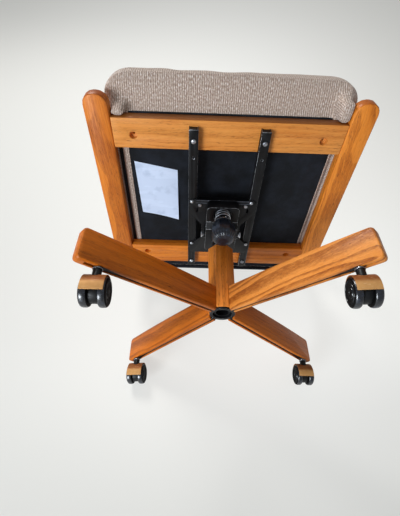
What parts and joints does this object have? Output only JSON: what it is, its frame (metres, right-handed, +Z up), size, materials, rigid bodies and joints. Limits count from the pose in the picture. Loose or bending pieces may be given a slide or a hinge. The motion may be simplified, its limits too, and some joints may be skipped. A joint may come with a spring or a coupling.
{
  "type": "swivel desk chair",
  "caption": "Oak desk chair with padded seat and back, on a swivel and tilt mechanism over a base of arched legs with hooded casters.",
  "frame": {"origin": "on the floor, under the middle of the chair's bounding box", "axes": "+Z up, the chair faces -Y, +X to the right of someone facing +Y"},
  "size_m": [0.5706, 0.6886, 0.8984],
  "materials": {
    "oak": "satin lacquered oak",
    "black_steel": "worn black paint",
    "bright_steel": "zinc plated",
    "gold_metal": "matt gold plating",
    "black_plastic": "moulded, half gloss",
    "nylon": "plain nylon",
    "tweed": "beige ribbed tweed over foam",
    "black_cloth": "thin black cover cloth",
    "plywood": "bare plywood"
  },
  "bodies": {
    "base": {"octagon_column": "oak", "base_spider": "black_steel", "lower_bush": "nylon", "upper_bush": "nylon", "leg_front_left": "oak", "leg_front_right": "oak", "leg_rear_left": "oak", "leg_rear_right": "oak"},
    "swivel": {"spindle": "bright_steel", "swivel_pan": "black_steel", "tilt_pin": "bright_steel", "tension_spring": "bright_steel"},
    "bolt": {"tension_bolt": "bright_steel"},
    "washer": {"spring_washer": "bright_steel"},
    "knob": {"tension_knob": "black_plastic"},
    "caster_front_left": {"caster_stem_front_left": "bright_steel", "caster_fork_front_left": "black_plastic", "caster_hood_front_left": "gold_metal"},
    "wheel_front_left_left": {"wheel_front_left_left": "black_plastic"},
    "wheel_front_left_right": {"wheel_front_left_right": "black_plastic"},
    "caster_front_right": {"caster_stem_front_right": "bright_steel", "caster_fork_front_right": "black_plastic", "caster_hood_front_right": "gold_metal"},
    "wheel_front_right_left": {"wheel_front_right_left": "black_plastic"},
    "wheel_front_right_right": {"wheel_front_right_right": "black_plastic"},
    "caster_rear_left": {"caster_stem_rear_left": "bright_steel", "caster_fork_rear_left": "black_plastic", "caster_hood_rear_left": "gold_metal"},
    "wheel_rear_left_left": {"wheel_rear_left_left": "black_plastic"},
    "wheel_rear_left_right": {"wheel_rear_left_right": "black_plastic"},
    "caster_rear_right": {"caster_stem_rear_right": "bright_steel", "caster_fork_rear_right": "black_plastic", "caster_hood_rear_right": "gold_metal"},
    "wheel_rear_right_left": {"wheel_rear_right_left": "black_plastic"},
    "wheel_rear_right_right": {"wheel_rear_right_right": "black_plastic"},
    "seat": {"tilt_plate": "black_steel", "seat_channel_left": "black_steel", "seat_channel_right": "black_steel", "channel_screw_front_left": "bright_steel", "channel_screw_front_right": "bright_steel", "channel_screw_rear_left": "bright_steel", "channel_screw_rear_right": "bright_steel", "side_board_left": "oak", "side_board_right": "oak", "front_rail": "oak", "rear_rail": "oak", "dust_cover": "black_cloth", "seat_base": "plywood", "seat_cushion": "tweed", "back_post_left": "oak", "back_post_right": "oak", "crest_rail": "oak", "back_cushion": "tweed", "back_board": "black_cloth", "arm_left": "oak", "arm_right": "oak", "arm_post_left": "oak", "arm_post_right": "oak"}
  },
  "joints": [
    {"name": "seat_swivel", "type": "hinge", "parent": "base", "child": "swivel", "pos_m": [0, -0.00293, 0.29], "axis": [0, 0, 1], "continuous": true},
    {"name": "seat_tilt", "type": "hinge", "parent": "swivel", "child": "seat", "pos_m": [0, -0.02293, 0.29362], "axis": [-1, 0, 0], "range_deg": [0, 12], "stiffness_Nm_per_rad": 80, "springref_deg": -14.32},
    {"name": "bolt_lift", "type": "slide", "parent": "swivel", "child": "bolt", "axis": [0, 0, 1], "range_m": [0, 0.0152], "deforming": ["tension_spring"]},
    {"name": "washer_travel", "type": "slide", "parent": "bolt", "child": "washer", "axis": [0, 0, 1], "range_m": [-0.00452, 0.00152], "deforming": ["tension_spring"]},
    {"name": "knob_turn", "type": "hinge", "parent": "washer", "child": "knob", "pos_m": [0, -0.08493, 0.24771], "axis": [0, 0, 1], "range_deg": [-1080, 360]},
    {"name": "caster_swivel_front_left", "type": "hinge", "parent": "base", "child": "caster_front_left", "pos_m": [-0.21967, -0.20282, 0.056], "axis": [0, 0, 1], "continuous": true},
    {"name": "wheel_spin_front_left_left", "type": "hinge", "parent": "caster_front_left", "child": "wheel_front_left_left", "pos_m": [-0.23332, -0.18982, 0.02462], "axis": [1, 0, 0], "continuous": true},
    {"name": "wheel_spin_front_left_right", "type": "hinge", "parent": "caster_front_left", "child": "wheel_front_left_right", "pos_m": [-0.20602, -0.18982, 0.02462], "axis": [1, 0, 0], "continuous": true},
    {"name": "caster_swivel_front_right", "type": "hinge", "parent": "base", "child": "caster_front_right", "pos_m": [0.19989, -0.2226, 0.056], "axis": [0, 0, 1], "continuous": true},
    {"name": "wheel_spin_front_right_left", "type": "hinge", "parent": "caster_front_right", "child": "wheel_front_right_left", "pos_m": [0.18802, -0.20795, 0.02462], "axis": [0.9917, -0.1288, 0], "continuous": true},
    {"name": "wheel_spin_front_right_right", "type": "hinge", "parent": "caster_front_right", "child": "wheel_front_right_right", "pos_m": [0.2151, -0.21147, 0.02462], "axis": [0.9917, -0.1288, 0], "continuous": true},
    {"name": "caster_swivel_rear_left", "type": "hinge", "parent": "base", "child": "caster_rear_left", "pos_m": [-0.20998, 0.22783, 0.056], "axis": [0, 0, 1], "continuous": true},
    {"name": "wheel_spin_rear_left_left", "type": "hinge", "parent": "caster_rear_left", "child": "wheel_rear_left_left", "pos_m": [-0.2213, 0.24291, 0.02462], "axis": [0.9863, -0.165, 0], "continuous": true},
    {"name": "wheel_spin_rear_left_right", "type": "hinge", "parent": "caster_rear_left", "child": "wheel_rear_left_right", "pos_m": [-0.19437, 0.2384, 0.02462], "axis": [0.9863, -0.165, 0], "continuous": true},
    {"name": "caster_swivel_rear_right", "type": "hinge", "parent": "base", "child": "caster_rear_right", "pos_m": [0.23076, 0.20705, 0.056], "axis": [0, 0, 1], "continuous": true},
    {"name": "wheel_spin_rear_right_left", "type": "hinge", "parent": "caster_rear_right", "child": "wheel_rear_right_left", "pos_m": [0.21667, 0.21956, 0.02462], "axis": [0.9994, 0.0349, 0], "continuous": true},
    {"name": "wheel_spin_rear_right_right", "type": "hinge", "parent": "caster_rear_right", "child": "wheel_rear_right_right", "pos_m": [0.24395, 0.22051, 0.02462], "axis": [0.9994, 0.0349, 0], "continuous": true}
  ],
  "couplings": [
    {"joint": "bolt_lift", "follows": "seat_tilt", "m_per_rad": 0.072},
    {"joint": "washer_travel", "follows": "knob_turn", "m_per_rad": 0.00023873}
  ]
}
